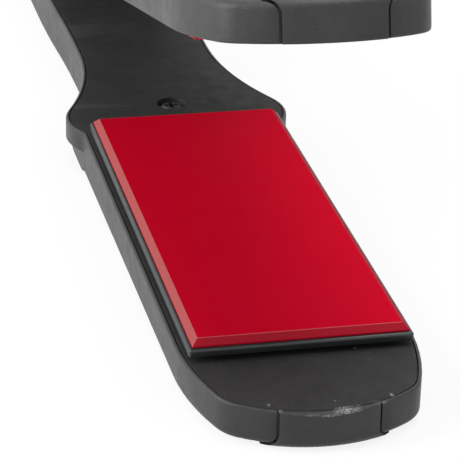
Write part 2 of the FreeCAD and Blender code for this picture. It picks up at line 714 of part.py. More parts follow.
def make_lower_shell():
    own = blanks["lower"]
    trimmed = cut("lower_blank_trim", own["shell"],
                  [box("lower_rear_trim", ("-40", "40"), ("lipEnd", "rearEnd + 10"), ("-40", "10"))])
    drum = cylinder("lower_drum", "x", ("hingeY", "0"), "barrelRadius", "-barrelHalf", "barrelHalf")
    neck = box("lower_neck_block", ("-barrelHalf", "barrelHalf"), ("cavityEnd", "hingeY"),
               ("-barrelRadius - 1", "-deckDrop"))
    collar = cylinder("lower_collar", "y", ("0", "0"), "collarRadius", "hingeY + 8", "collarEnd")
    rear = cut("lower_rear", fuse("lower_rear_join", [halves("lower_drum_half", drum, False), neck,
                                                      halves("lower_collar_half", collar, False)]),
               [below_face("lower_rear_below", "lowerDepth")])
    cradle = [cylinder(f"lower_cradle_{side}", "x", ("hingeY", "0"), "barrelRadius + swingGap",
                       low, high) for side, low, high in (("left", "-40", "-barrelHalf"),
                                                          ("right", "barrelHalf", "40"))]
    hollow = cut("lower_shell_hollow",
                 fuse("lower_shell_join", [cut("lower_blank_cradle", trimmed, cradle), rear]),
                 [own["panelSpace"], own["cavity"], own["handleCavity"], own["deckSeat"],
                  own["channel"]] + hollows)
    posts, holes = shell_posts("lower")
    for x, y, name in (("standoffX", "standoffFront", "a"), ("-standoffX", "standoffFront", "b"),
                       ("standoffX", "standoffRear", "c"), ("-standoffX", "standoffRear", "d")):
        posts.append(cylinder(f"standoff_{name}", "z", (x, y), "standoffRadius",
                              "-lowerHandleFloor - 0.2", "-(boardTop + boardThick)"))
        holes.append(cylinder(f"standoff_{name}_core", "z", (x, y), "0.85",
                              "-lowerHandleFloor + 0.1", "-boardTop"))
    solid = fuse("lower_shell_posts", [hollow] + posts)
    finish("lower_outer_shell", cut("lower_shell_cut", solid, holes), lowerPlace)


def make_hinge_cover():
    drum = cylinder("cover_drum", "x", ("hingeY", "0"), "barrelRadius", "-barrelHalf", "barrelHalf")
    collar = cylinder("cover_collar", "y", ("0", "0"), "collarRadius", "hingeY + 8", "collarEnd")
    window = box("cover_window", ("-windowHalf", "windowHalf"),
                 ("hingeY - barrelRadius - 1", "hingeY - 6"), ("4.5", "barrelRadius - 1.2"))
    clip = "barrelHalf - barrelWall - 0.1"
    clips = [box(f"cover_clip_{side}", x, ("hingeY + 5", "hingeY + 10"), ("-5", "2"))
             for side, x in (("left", (f"-({clip})", f"-({clip}) + 1.2")),
                             ("right", (f"{clip} - 1.2", clip)))]
    shell = cut("cover_cut", fuse("cover_join", [halves("cover_drum_half", drum, True),
                                                 halves("cover_collar_half", collar, True)]),
                hollows + [window])
    roots = [box(f"cover_root_{side}", x, ("hingeY + 5", "hingeY + 10"), ("1", "5"))
             for side, x in (("left", (f"-({clip}) - 0.6", f"-({clip}) + 1.2")),
                             ("right", (f"{clip} - 1.2", f"{clip} + 0.6")))]
    finish("hinge_cover", fuse("cover_clips", [shell] + clips + roots), lowerPlace)


def make_upper_shell():
    half = "barrelHalf + cheekGap"
    own = blanks["upper"]
    trimmed = cut("upper_blank_trim", own["shell"],
                  [box("upper_rear_trim", ("-40", "40"), ("hingeY", "rearEnd + 10"), ("-40", "10"))])
    cheeks = []
    recesses = []
    for side, low, high, sign in (("left", "-handleHalf", f"-({half})", -1),
                                  ("right", half, "handleHalf", 1)):
        disc = cylinder(f"cheek_{side}_disc", "x", ("hingeY", "0"), "barrelRadius", low, high)
        outer = sign * size("handleHalf")
        cheeks.append(girthedges(f"cheek_{side}", disc, "edgeRound", lambda edge, outer=outer: (
            abs(middle(edge).x - outer) < 0.01 and len(edge.Vertexes) == 1)))
        face = ("handleHalf - capDepth", "handleHalf + 1")
        low, high = face if sign > 0 else (f"-({face[1]})", f"-({face[0]})")
        recesses.append(cylinder(f"cap_seat_{side}", "x", ("hingeY", "0"), "capRadius", low, high))
    tools = [
        cylinder("upper_barrel_clear", "x", ("hingeY", "0"), "barrelRadius + swingGap",
                 f"-({half})", half),
        box("upper_rear_open", (f"-({half})", half), ("lipEnd", "rearEnd + 10"), ("-40", "20")),
        cylinder("cheek_pin_bore", "x", ("hingeY", "0"), "pinRadius + pinRunning", "-30", "30"),
    ]
    hollow = cut("upper_shell_hollow", fuse("upper_shell_join", [trimmed] + cheeks),
                 [own["panelSpace"], own["cavity"], own["handleCavity"], own["deckSeat"],
                  own["channel"]] + tools + recesses)
    posts, holes = shell_posts("upper")
    finish("upper_outer_shell", cut("upper_shell_cut", fuse("upper_shell_posts", [hollow] + posts),
                                    holes), upperPlace)


hollows = barrel_hollows()
make_lower_shell()
make_hinge_cover()
make_upper_shell()
deckTools = [
    cylinder("dial_hole", "z", ("dialX", "dialY"), "dialShaft + 0.3", "-10", "0"),
    cylinder("button_hole", "z", ("buttonX", "buttonY"), "buttonRadius + fitGap", "-10", "0"),
    cylinder("lens_hole", "z", ("buttonX", "lensY"), "lensRadius + 0.05", "-10", "0"),
]
make_deck("lower", deckTools)
make_deck("upper", [])
for arm in ARMS:
    make_panel(arm)


# ---------------------------------------------------------------- floating plate and heater
def copy_group(label, model, places, armPlace):
    """Copies of one piece as separate solids of a node."""
    copies = []
    for number, place in enumerate(places):
        link = doc.addObject("App::Link", f"{label}_{number}")
        link.LinkedObject = model
        link.Placement = place
        copies.append(link)
    group = doc.addObject("Part::Compound", label + "_group")
    group.Links = copies
    finish(label, group, armPlace)


def make_plate(arm):
    body = new_body(f"{arm}_plate")
    rim = sketch_on(body, f"{arm}_plate_rim", "XY_Plane")
    rectangle(rim, ("-plateHalf", "plateHalf"), ("0", "plateLength"))
    pad(body, rim, "plateEdge")
    dress(body, "Chamfer", "plateChamfer", at_height(0))
    core = sketch_on(body, f"{arm}_plate_core", "XY_Plane", "-plateEdge")
    rectangle(core, ("-(plateHalf - coreInset)", "plateHalf - coreInset"),
              ("coreInset", "plateLength - coreInset"))
    pad(body, core, "coreDepth - plateEdge")
    finish(f"{arm}_plate", body, ARMS[arm])


def make_carrier(arm):
    body = new_body(f"{arm}_carrier")
    top = "plateEdge + 0.05"
    flange = sketch_on(body, f"{arm}_flange", "XY_Plane", f"-({top})")
    rectangle(flange, ("-(plateHalf + flangeLip)", "plateHalf + flangeLip"),
              ("-flangeLip", "plateLength + flangeLip"))
    pad(body, flange, f"flangeBottom - ({top})")
    dress(body, "Fillet", "flangeRound", lambda edge: (
        is_vertical(edge) or abs(middle(edge).z + size(top)) < 0.001))
    skirt = sketch_on(body, f"{arm}_skirt", "XY_Plane", "-flangeBottom")
    rectangle(skirt, ("-(plateHalf - skirtInset)", "plateHalf - skirtInset"),
              ("skirtInset", "plateLength - skirtInset"))
    pad(body, skirt, "carrierBottom - flangeBottom")
    for name, y in (("front", ("skirtInset - tabReach", "skirtInset")),
                    ("rear", ("plateLength - skirtInset", "plateLength - skirtInset + tabReach"))):
        tab = sketch_on(body, f"{arm}_tab_{name}", "XY_Plane", "-(deckDrop + deckThick + 0.1)")
        rectangle(tab, ("-tabHalf", "tabHalf"), y)
        pad(body, tab, "carrierBottom - (deckDrop + deckThick + 0.1)")
    well = sketch_on(body, f"{arm}_well", "XY_Plane")
    rectangle(well, ("-(plateHalf - coreInset + fitGap)", "plateHalf - coreInset + fitGap"),
              ("coreInset - fitGap", "plateLength - coreInset + fitGap"))
    pocket(body, well, "carrierFloor")
    for side, x in (("left", ("-leadX - 1.3", "-leadX + 1.3")),
                    ("right", ("leadX - 1.3", "leadX + 1.3"))):
        slot = sketch_on(body, f"{arm}_lead_slot_{side}", "XY_Plane", "-flangeBottom")
        rectangle(slot, x, ("heaterStart + heaterLength + 2", "plateLength - skirtInset + 0.5"))
        pocket(body, slot, "carrierBottom")
    finish(f"{arm}_plate_carrier", body, ARMS[arm])


def make_sheet_piece(label, x, y, top, thick, place):
    """A flat piece: one sketch and one pad."""
    body = new_body(label)
    sketch = sketch_on(body, label + "_plan", "XY_Plane", f"-({top})")
    rectangle(sketch, x, y)
    pad(body, sketch, thick)
    finish(label, body, place)
    return body


def make_heater_stack(arm):
    place = ARMS[arm]
    end = "heaterStart + heaterLength"
    make_sheet_piece(f"{arm}_heater", ("-heaterHalf", "heaterHalf"), ("heaterStart", end),
                     "coreDepth", "heaterThick", place)
    sheetTop = "coreDepth + heaterThick"
    make_sheet_piece(f"{arm}_insulator", ("-(heaterHalf + sheetLip)", "heaterHalf + sheetLip"),
                     ("heaterStart - sheetLip", f"{end} + sheetLip"), sheetTop, "sheetThick", place)
    clip = make_sheet_piece(f"{arm}_heater_clip", ("-clipHalf", "clipHalf"),
                            ("heaterStart + 5", f"{end} - 5"), f"{sheetTop} + sheetThick",
                            "clipThick", place)
    slot = sketch_on(clip, f"{arm}_clip_slot", "XY_Plane")
    rectangle(slot, ("-(clipHalf - 2)", "clipHalf - 2"), ("heaterStart + 12", f"{end} - 12"))
    pocket(clip, slot, "carrierFloor")


def make_float_springs(arm):
    """Two arched leaves between the shell's floor and the carrier, as separate solids of a node."""
    low = f"-({arm}HeadFloor - leafSeat)"
    high = "-(carrierBottom + leafSeat + leafThick)"
    crown = "leafCrown"
    knee = "leafCrown + leafSlope"
    end = "leafCrown + leafSlope + leafFoot"
    under = [(f"-({end})", low), (f"-({knee})", low), (f"-({crown})", high),
             (crown, high), (knee, low), (end, low)]
    over = [(y, f"{z} + leafThick") for y, z in reversed(under)]
    model = new_body(f"{arm}_leaf")
    side = sketch_on(model, f"{arm}_leaf_side", "YZ_Plane", "-leafHalf")
    polygon(side, under + over)
    pad(model, side, "2 * leafHalf", down=False)
    places = [Placement(Vector(0, size(y), 0), Rotation()) for y in ("floatFront", "floatRear")]
    copy_group(f"{arm}_float_springs", model, places, ARMS[arm])


def make_leads(arm, route):
    """Two insulated leads along straight runs joined by tangent arcs."""
    pipes = []
    for side in (-1, 1):
        points = [Vector(side * size("leadX"), size(y), -size(z)) for y, z in route]
        edges = []
        start = points[0]
        for number in range(1, len(points) - 1):
            before = points[number - 1] - points[number]
            after = points[number + 1] - points[number]
            trim = 0.45 * min(before.Length, after.Length)
            enter = points[number] + before.normalize() * trim
            leave = points[number] + after.normalize() * trim
            radius = trim / math.tan((math.pi - before.getAngle(after)) / 2)
            centre = points[number] + (before + after).normalize() * math.hypot(radius, trim)
            bend = centre + (points[number] - centre).normalize() * radius
            edges.append(Part.LineSegment(start, enter).toShape())
            edges.append(Part.Arc(enter, bend, leave).toShape())
            start = leave
        edges.append(Part.LineSegment(start, points[-1]).toShape())
        spine = Part.Wire(edges)
        ring = Part.Wire(Part.makeCircle(size("leadRadius"), points[0], points[1] - points[0]))
        pipes.append(spine.makePipeShell([ring], True, False))
    item = doc.addObject("Part::Feature", f"{arm}_lead_pair")
    item.Shape = Part.makeCompound(pipes)
    finish(f"{arm}_leads", item, ARMS[arm])


leadStart = ("heaterStart + heaterLength + 0.05", "coreDepth + heaterThick / 2")
leadTurn = ("heaterStart + heaterLength + 5", "coreDepth + heaterThick / 2")
leadOnBoard = "boardTop - leadRadius - 0.05"
for arm in ARMS:
    make_plate(arm)
    make_carrier(arm)
    make_heater_stack(arm)
    make_float_springs(arm)
make_leads("lower", [leadStart, leadTurn, ("plateLength - 4", "lowerHeadFloor - leadLift"),
                     ("boardStart - 3", "lowerHeadFloor - leadLift"),
                     ("boardStart + 1", leadOnBoard), ("boardStart + 3", leadOnBoard)])
make_leads("upper", [leadStart, leadTurn, ("plateLength - 4", "upperHeadFloor - leadLift"),
                     ("cavityEnd", "upperHeadFloor - leadLift")])
make_sheet_piece("thermistor", ("-1.7", "1.7"), ("sensorStart", "sensorStart + 6"),
                 "coreDepth", "1.6", lowerPlace)
fuseBody = new_body("thermal_fuse")
fuseSketch = sketch_on(fuseBody, "thermal_fuse_end", "YZ_Plane", "-4.5")
circle(fuseSketch, "sensorStart + 3.5", "-(coreDepth + 1.05)", "1")
pad(fuseBody, fuseSketch, "9", down=False)
finish("thermal_fuse", fuseBody, upperPlace)


# ---------------------------------------------------------------- screws
def screw(name, head, headThick, shank, length, slot):
    """A pan-head screw standing on z = 0 with its head up and a cross recess."""
    body = new_body(name)
    profile = sketch_on(body, name + "_profile", "XZ_Plane")
    polygon(profile, [("0", f"-({length})"), (shank, f"-({length})"), (shank, "0"), (head, "0"),
                      (head, f"({headThick}) * 0.55"), (f"({head}) * 0.72", headThick),
                      ("0", headThick)])
    revolve(body, profile)
    for number, (x, y) in enumerate(((slot, f"({slot}) * 0.22"), (f"({slot}) * 0.22", slot))):
        cross = sketch_on(body, f"{name}_cross_{number}", "XY_Plane", headThick)
        rectangle(cross, (f"-({x})", x), (f"-({y})", y))
        pocket(body, cross, f"({headThick}) * 0.55")
    return body


deckScrew = screw("deck_screw", "headRadius", "headThick", "shankRadius", "shankLength", "1.5")
deckScrewPlaces = [Placement(Vector(0, size(y), -size(recessBottom)), Rotation())
                   for y, floor in boltPoints.values()]
for arm in ARMS:
    copy_group(f"{arm}_deck_screws", deckScrew, deckScrewPlaces, ARMS[arm])
boardScrew = screw("board_screw", "1.7", "0.9", "0.8", "2.4", "1.0")
boardScrewPlaces = [Placement(Vector(sign * size("standoffX"), size(y), -size("boardTop")),
                              Rotation())
                    for y in ("standoffFront", "standoffRear") for sign in (-1, 1)]
copy_group("board_screws", boardScrew, boardScrewPlaces, lowerPlace)


# ---------------------------------------------------------------- hinge
def make_pin():
    body = new_body("hinge_pin")
    profile = sketch_on(body, "hinge_pin_profile", "XZ_Plane")
    polygon(profile, [("0", "-pinHalf"), ("pinRadius - 0.4", "-pinHalf"),
                      ("pinRadius", "-pinHalf + 0.4"), ("pinRadius", "pinHalf - 0.4"),
                      ("pinRadius - 0.4", "pinHalf"), ("0", "pinHalf")])
    revolve(body, profile)
    finish("hinge_pin", body,
           lowerPlace * Placement(Vector(0, size("hingeY"), 0), AXIS_TURNS["x"]))


def make_cap(side, sign):
    body = new_body(f"{side}_hinge_cap")
    profile = sketch_on(body, f"{side}_cap_profile", "XZ_Plane")
    radius = "capRadius - capFit"
    polygon(profile, [("0", "0"), (radius, "0"), (radius, "capDepth - 0.3"),
                      (f"{radius} - 0.5", "capDepth + 0.1"), ("2.2", "capDepth + 0.25"),
                      ("2.2", "capDepth - 0.15"), ("0", "capDepth - 0.15")])
    revolve(body, profile)
    turn = Rotation(Vector(0, 1, 0), 90 * sign)
    finish(f"{side}_hinge_cap", body, upperPlace * Placement(
        Vector(sign * size("handleHalf - capDepth"), size("hingeY"), 0), turn))


def coil(radius, wire, pitch, turns, foot, reach):
    """A round wire wound about +z from the +x side, with a straight run before and after it."""
    helix = Part.makeHelix(pitch, pitch * turns, radius).Edges[0]
    angle = 2 * math.pi * turns
    girth = 2 * math.pi * radius
    first = Vector(radius, 0, 0)
    last = Vector(radius * math.cos(angle), radius * math.sin(angle), pitch * turns)
    entering = Vector(0, girth, pitch).normalize()
    leaving = Vector(-math.sin(angle) * girth, math.cos(angle) * girth, pitch).normalize()
    start = first - entering * foot
    edges = [Part.LineSegment(start, first).toShape(), helix,
             Part.LineSegment(last, last + leaving * reach).toShape()]
    ring = Part.Wire(Part.makeCircle(wire / 2, start, entering))
    return Part.Wire(edges).makePipeShell([ring], True, False)


def make_hinge_spring():
    """A torsion spring: a coil round the pin with one straight leg towards each arm."""
    turns = size("springTurns - springLean / 360")
    pitch = size("springWire + 0.2")
    item = doc.addObject("Part::Feature", "hinge_spring_solid")
    item.Shape = coil(size("springRadius"), size("springWire"), pitch, turns,
                      size("springFoot"), size("springReach"))
    centre = Vector(-pitch * turns / 2, size("hingeY"), 0)
    finish("hinge_spring", item, lowerPlace * Placement(centre, AXIS_TURNS["x"]))


make_pin()
make_cap("left", -1)
make_cap("right", 1)
make_hinge_spring()


# ---------------------------------------------------------------- cord gland
def make_gland():
    body = new_body("cord_gland")
    profile = sketch_on(body, "cord_gland_profile", "XZ_Plane")
    start = "hingeY + 14.2"
    end = "collarEnd + 0.3"
    polygon(profile, [
        ("cordBore", start), ("glandRadius", start), ("glandRadius", "flangeStart"),
        ("glandFlange", "flangeStart"), ("glandFlange", "flangeStart + flangeThick"),
        ("glandRadius", "flangeStart + flangeThick"), ("glandRadius", end),
        ("noseRadius", end), ("noseRadius", f"{end} + 1.2"),
        ("noseRadius - 1.6", f"{end} + noseLength"), ("cordBore", f"{end} + noseLength")])
    revolve(body, profile)
    finish("cord_gland", body, lowerPlace * Placement(Vector(), AXIS_TURNS["y"]))


make_gland()


# ---------------------------------------------------------------- electronics and controls
def make_board():
    body = new_body("control_board")
    plan = sketch_on(body, "board_plan", "XY_Plane", "-boardTop")
    rectangle(plan, ("-boardHalf", "boardHalf"), ("boardStart", "boardEnd"))
    pad(body, plan, "boardThick")
    holes = sketch_on(body, "board_holes", "XY_Plane", "-boardTop")
    circle(holes, "0", "handleScrewY", "postRadius + 0.5")
    for x in ("standoffX", "-standoffX"):
        for y in ("standoffFront", "standoffRear"):
            circle(holes, x, y, "0.9")
    pocket(body, holes, "boardThick")
    finish("control_board", body, lowerPlace)


def make_box_piece(label, x, y, z):
    item = box(label + "_block", x, y, z)
    finish(label, fuse(label, [item]), lowerPlace * item.Placement)


def make_dial():
    """A flat knob with finger flutes on a shaft that turns in the potentiometer."""
    body = new_body("temperature_dial")
    profile = sketch_on(body, "dial_profile", "XZ_Plane")
    base = "-(deckDrop - 0.15)"
    top = f"{base} + dialHeight"
    polygon(profile, [("0", "-(boardTop - 0.4)"), ("dialShaft", "-(boardTop - 0.4)"),
                      ("dialShaft", base), ("dialRadius", base), ("dialRadius", f"{top} - 0.5"),
                      ("dialRadius - 0.5", top), ("0", top)])
    revolve(body, profile)
    flute = sketch_on(body, "dial_flute", "XY_Plane", top)
    circle(flute, "dialRadius + 0.45", "0", "0.8")
    groove = pocket(body, flute, "dialHeight")
    ring = body.newObject("PartDesign::PolarPattern", "dial_flutes")
    ring.Originals = [groove]
    ring.Axis = (profile, ["V_Axis"])
    ring.Angle = 360
    ring.Occurrences = 16
    body.Tip = ring
    mark = sketch_on(body, "dial_mark", "XY_Plane", top)
    rectangle(mark, ("-0.35", "0.35"), ("dialRadius - 3.2", "dialRadius - 1.2"))
    pocket(body, mark, "0.35")
    finish("temperature_dial", body,
           lowerPlace * Placement(Vector(size("dialX"), size("dialY"), 0), Rotation()))


def make_pot():
    body = new_body("potentiometer")
    plan = sketch_on(body, "pot_plan", "XY_Plane", "-boardTop")
    rectangle(plan, ("dialX - potHalf", "dialX + potHalf"), ("dialY - potHalf", "dialY + potHalf"))
    pad(body, plan, "potHeight", down=False)
    bore = sketch_on(body, "pot_bore", "XY_Plane", "-(boardTop - potHeight)")
    circle(bore, "dialX", "dialY", "dialShaft + 0.05")
    pocket(body, bore, "potHeight - 0.3")
    finish("potentiometer", body, lowerPlace)


def make_button():
    body = new_body("power_button")
    profile = sketch_on(body, "button_profile", "XZ_Plane")
    top = "-(deckDrop - buttonProud)"
    under = "-(deckDrop + deckThick + 0.1)"
    polygon(profile, [("0", f"{under} - 0.4"), ("buttonRadius + 0.8", f"{under} - 0.4"),
                      ("buttonRadius + 0.8", under), ("buttonRadius", under),
                      ("buttonRadius", f"{top} - 0.4"), ("buttonRadius - 0.4", top),
                      ("buttonRadius - 1.1", top), ("0", f"{top} - 0.3")])
    revolve(body, profile)
    finish("power_button", body,
           lowerPlace * Placement(Vector(size("buttonX"), size("buttonY"), 0), Rotation()))


def make_switch():
    body = new_body("button_switch")
    plan = sketch_on(body, "switch_plan", "XY_Plane", "-boardTop")
    rectangle(plan, ("buttonX - switchHalf + 0.2", "buttonX + switchHalf"),
              ("buttonY - switchHalf", "buttonY + switchHalf"))
    pad(body, plan, "switchHeight", down=False)
    plunger = sketch_on(body, "switch_plunger", "XY_Plane", "-(boardTop - switchHeight)")
    circle(plunger, "buttonX", "buttonY", "1.4")
    pad(body, plunger, "0.3", down=False)
    finish("button_switch", body, lowerPlace)


def make_lens():
    body = new_body("indicator_lens")
    profile = sketch_on(body, "lens_profile", "XZ_Plane")
    under = "-(deckDrop + deckThick + 0.05)"
    foot = "-(boardTop - 2.2)"
    polygon(profile, [("0", foot), ("lensRadius", foot),
                      ("lensRadius", f"{under} - 0.6"), ("lensRadius + 0.6", f"{under} - 0.6"),
                      ("lensRadius + 0.6", under), ("lensRadius", under),
                      ("lensRadius", "-(deckDrop - 0.05)"), ("lensRadius - 0.3", "-(deckDrop - 0.3)"),
                      ("0", "-(deckDrop - 0.4)")])
    revolve(body, profile)
    finish("indicator_lens", body,
           lowerPlace * Placement(Vector(size("buttonX"), size("lensY"), 0), Rotation()))


def make_board_parts():
    """Indicator diode, mains capacitor and triac, soldered to the board."""
    diode = new_body("indicator_diode")
    profile = sketch_on(diode, "diode_profile", "XZ_Plane")
    polygon(profile, [("0", "-boardTop"), ("1.2", "-boardTop"), ("1.2", "-boardTop + 0.5"),
                      ("1", "-boardTop + 0.5"), ("1", "-boardTop + 1.6"), ("0", "-boardTop + 2.1")])
    revolve(diode, profile)
    finish("indicator_diode", diode,
           lowerPlace * Placement(Vector(size("buttonX"), size("lensY"), 0), Rotation()))
    for label, x, y, lift in (
            ("mains_capacitor", ("-5", "5"), ("hingeY - 68", "hingeY - 62"), "potHeight"),
            ("triac", ("-4.5", "4.5"), ("hingeY - 58", "hingeY - 53"), "2.4")):
        piece = new_body(label)
        plan = sketch_on(piece, label + "_plan", "XY_Plane", "-boardTop")
        rectangle(plan, x, y)
        pad(piece, plan, lift, down=False)
        dress(piece, "Fillet", "0.4", is_vertical)
        finish(label, piece, lowerPlace)


make_board()
make_dial()
make_pot()
make_button()
make_switch()
make_lens()
make_board_parts()

# ---------------------------------------------------------------- check and write
doc.recompute()
for item in doc.Objects:
    if "Invalid" in item.State or "Error" in item.State:
        raise ValueError(f"{item.Name} failed: {item.State}")
for label, item in subparts.items():
    if item.Shape.isNull() or not item.Shape.isValid() or not item.Shape.Solids:
        raise ValueError(f"{label} has no valid shape")
os.makedirs("parts", exist_ok=True)
for label, item in subparts.items():
    item.Shape.exportStep(f"parts/{label}.step")
    print(label, len(item.Shape.Solids), round(item.Shape.Volume, 1))
print("hinge height", round(hingeHeight, 4), "sub-parts", len(subparts))
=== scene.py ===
import json
import math
import bmesh
import bpy
from mathutils import Matrix, Vector

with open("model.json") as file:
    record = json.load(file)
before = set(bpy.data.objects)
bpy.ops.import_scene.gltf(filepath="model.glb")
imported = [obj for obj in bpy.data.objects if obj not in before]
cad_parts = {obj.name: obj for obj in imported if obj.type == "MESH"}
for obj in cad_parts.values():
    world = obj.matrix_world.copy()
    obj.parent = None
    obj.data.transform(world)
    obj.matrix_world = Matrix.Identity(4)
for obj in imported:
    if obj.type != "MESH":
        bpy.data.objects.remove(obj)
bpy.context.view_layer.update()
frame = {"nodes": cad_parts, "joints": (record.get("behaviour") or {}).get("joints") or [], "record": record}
nodes = frame["nodes"]
joints = {joint["name"]: joint for joint in frame["joints"]}
print("frame loaded:", len(nodes), "CAD nodes")

mm = 0.001

# each arm has its own frame: x across, y from the plate's front edge to the hinge, z out of the plate
hinge = Vector(joints["arm_hinge"]["pos_m"])
arms = ("lower", "upper")
armUp = {arm: -Vector(joints[arm + "_plate_float"]["axis"]).normalized() for arm in arms}
across = {"lower": Vector((1, 0, 0)), "upper": Vector((-1, 0, 0))}


def armFrame(arm):
    up = armUp[arm]
    turn = Matrix((across[arm], up.cross(across[arm]), up)).transposed().to_4x4()
    atHinge = Matrix.Translation(hinge) @ turn
    plate = nodes[arm + "_plate"]
    intoArm = atHinge.inverted() @ plate.matrix_world
    front = min((intoArm @ vertex.co).y for vertex in plate.data.vertices)
    return atHinge @ Matrix.Translation((0, front, 0))


armFrames = {arm: armFrame(arm) for arm in arms}

# the view down on the plate from the tip's side; lens and sensor in mm, roll in degrees
camera = {"eye": (-0.10199, -0.49822, 0.20603), "aim": (-0.01362, -0.11478, 0.03264),
          "roll": 1.295, "lens": 193.7, "sensor": 36, "near": 0.01}


def makeCamera():
    eye = Vector(camera["eye"])
    data = bpy.data.cameras.new("camera")
    data.lens = camera["lens"]
    data.sensor_width = camera["sensor"]
    data.clip_start = camera["near"]
    item = bpy.data.objects.new("camera", data)
    bpy.context.scene.collection.objects.link(item)
    turn = (Vector(camera["aim"]) - eye).to_track_quat("-Z", "Y").to_matrix().to_4x4()
    roll = Matrix.Rotation(math.radians(camera["roll"]), 4, "Z")
    item.matrix_world = Matrix.Translation(eye) @ turn @ roll
    bpy.context.scene.camera = item
    print("camera placed")


lamps = {
    "leftPanel": {"from": (-0.85, 0.02, 0.42), "at": (0, -0.03, 0.0),
                  "size": (0.6, 0.8), "watts": 12.0},
    "frontFill": {"from": (0.25, -0.95, 0.35), "at": (0, -0.085, 0.0),
                  "size": (0.7, 0.4), "watts": 0.8},
    "topPanel": {"from": (0.18, 0.0, 1.1), "at": (0, -0.035, 0.0),
                 "size": (0.7, 0.7), "watts": 8.8},
}

# world: strength of the surrounding light; floor: its grey; glow: share of the floor that shines
# for the camera; gap: how far the floor stays under the rest face
room = {"world": 0.42, "floor": 0.86, "glow": 0.86, "size": 8.0, "gap": 0.2 * mm}


def seenDirectly(tree):
    # 1 for camera, glossy and transmission rays, 0 for light that falls on the object
    path = tree.nodes.new("ShaderNodeLightPath")
    total = path.outputs["Is Camera Ray"]
    for ray in ("Is Glossy Ray", "Is Transmission Ray"):
        either = tree.nodes.new("ShaderNodeMath")
        either.operation = "MAXIMUM"
        tree.links.new(total, either.inputs[0])
        tree.links.new(path.outputs[ray], either.inputs[1])
        total = either.outputs[0]
    return total


def makeLight():
    for name, lamp in lamps.items():
        data = bpy.data.lights.new(name, "AREA")
        data.shape = "RECTANGLE"
        data.size, data.size_y = lamp["size"]
        data.energy = lamp["watts"]
        item = bpy.data.objects.new(name, data)
        item.location = lamp["from"]
        item.rotation_mode = "QUATERNION"
        beam = Vector(lamp["at"]) - Vector(lamp["from"])
        item.rotation_quaternion = beam.to_track_quat("-Z", "Y")
        bpy.context.scene.collection.objects.link(item)
    world = bpy.data.worlds.new("studio")
    world.use_nodes = True
    tree = world.node_tree
    back = tree.nodes["Background"]
    back.inputs["Color"].default_value = (1, 1, 1, 1)
    strength = tree.nodes.new("ShaderNodeMapRange")
    strength.inputs["To Min"].default_value = room["world"]
    strength.inputs["To Max"].default_value = 1.0
    tree.links.new(seenDirectly(tree), strength.inputs["Value"])
    tree.links.new(strength.outputs["Result"], back.inputs["Strength"])
    bpy.context.scene.world = world
    bpy.context.scene.view_settings.view_transform = "Standard"
    print("lamps and world set")


def makeFloor():
    mesh = bpy.data.meshes.new("studioFloor")
    sheet = bmesh.new()
    bmesh.ops.create_grid(sheet, x_segments=1, y_segments=1, size=room["size"] / 2,
                          matrix=Matrix.Translation((0, 0, -room["gap"])))
    sheet.to_mesh(mesh)
    sheet.free()
    floor = bpy.data.objects.new("studioFloor", mesh)
    bpy.context.scene.collection.objects.link(floor)
    material = bpy.data.materials.new("paleFloor")
    material.use_nodes = True
    tree = material.node_tree
    tree.nodes.clear()
    diffuse = tree.nodes.new("ShaderNodeBsdfDiffuse")
    diffuse.inputs["Color"].default_value = (room["floor"],) * 3 + (1,)
    glow = tree.nodes.new("ShaderNodeEmission")
    glow.inputs["Strength"].default_value = 1.0
    share = tree.nodes.new("ShaderNodeMath")
    share.operation = "MULTIPLY"
    share.inputs[1].default_value = room["glow"]
    tree.links.new(seenDirectly(tree), share.inputs[0])
    mix = tree.nodes.new("ShaderNodeMixShader")
    tree.links.new(share.outputs[0], mix.inputs["Fac"])
    tree.links.new(diffuse.outputs[0], mix.inputs[1])
    tree.links.new(glow.outputs[0], mix.inputs[2])
    out = tree.nodes.new("ShaderNodeOutputMaterial")
    tree.links.new(mix.outputs[0], out.inputs["Surface"])
    mesh.materials.append(material)
    print("floor laid")


# small helpers for node trees; every pattern runs on Object coordinates
def startMaterial(name):
    material = bpy.data.materials.new(name)
    material.use_nodes = True
    tree = material.node_tree
    shader = tree.nodes["Principled BSDF"]
    place = tree.nodes.new("ShaderNodeTexCoord")
    return material, tree, shader, place.outputs["Object"]


def inArm(tree, place, arm):
    # Object coordinates turned into the arm's own frame
    mapping = tree.nodes.new("ShaderNodeMapping")
    back = armFrames[arm].inverted()
    mapping.inputs["Location"].default_value = back.to_translation()
    mapping.inputs["Rotation"].default_value = back.to_euler()
    tree.links.new(place, mapping.inputs["Vector"])
    return mapping.outputs["Vector"]


def addNoise(tree, place, grain, detail=3.0):
    noise = tree.nodes.new("ShaderNodeTexNoise")
    noise.inputs["Scale"].default_value = 1 / grain
    noise.inputs["Detail"].default_value = detail
    tree.links.new(place, noise.inputs["Vector"])
    return noise.outputs["Fac"]


def spread(tree, value, low, high, fromLow=0.3, fromHigh=0.7):
    ramp = tree.nodes.new("ShaderNodeMapRange")
    ends = {"From Min": fromLow, "From Max": fromHigh, "To Min": low, "To Max": high}
    for socket, number in ends.items():
        ramp.inputs[socket].default_value = number
    tree.links.new(value, ramp.inputs["Value"])
    return ramp.outputs["Result"]


def arithmetic(tree, operation, first, second):
    node = tree.nodes.new("ShaderNodeMath")
    node.operation = operation
    for socket, value in zip(node.inputs, (first, second)):
        if isinstance(value, (int, float)):
            socket.default_value = value
        else:
            tree.links.new(value, socket)
    return node.outputs[0]


def mixColour(tree, share, first, second):
    mix = tree.nodes.new("ShaderNodeMix")
    mix.data_type = "RGBA"
    for socket, colour in (("A", first), ("B", second)):
        if isinstance(colour, tuple):
            mix.inputs[socket].default_value = (*colour, 1)
        else:
            tree.links.new(colour, mix.inputs[socket])
    tree.links.new(share, mix.inputs["Factor"])
    return mix.outputs["Result"]


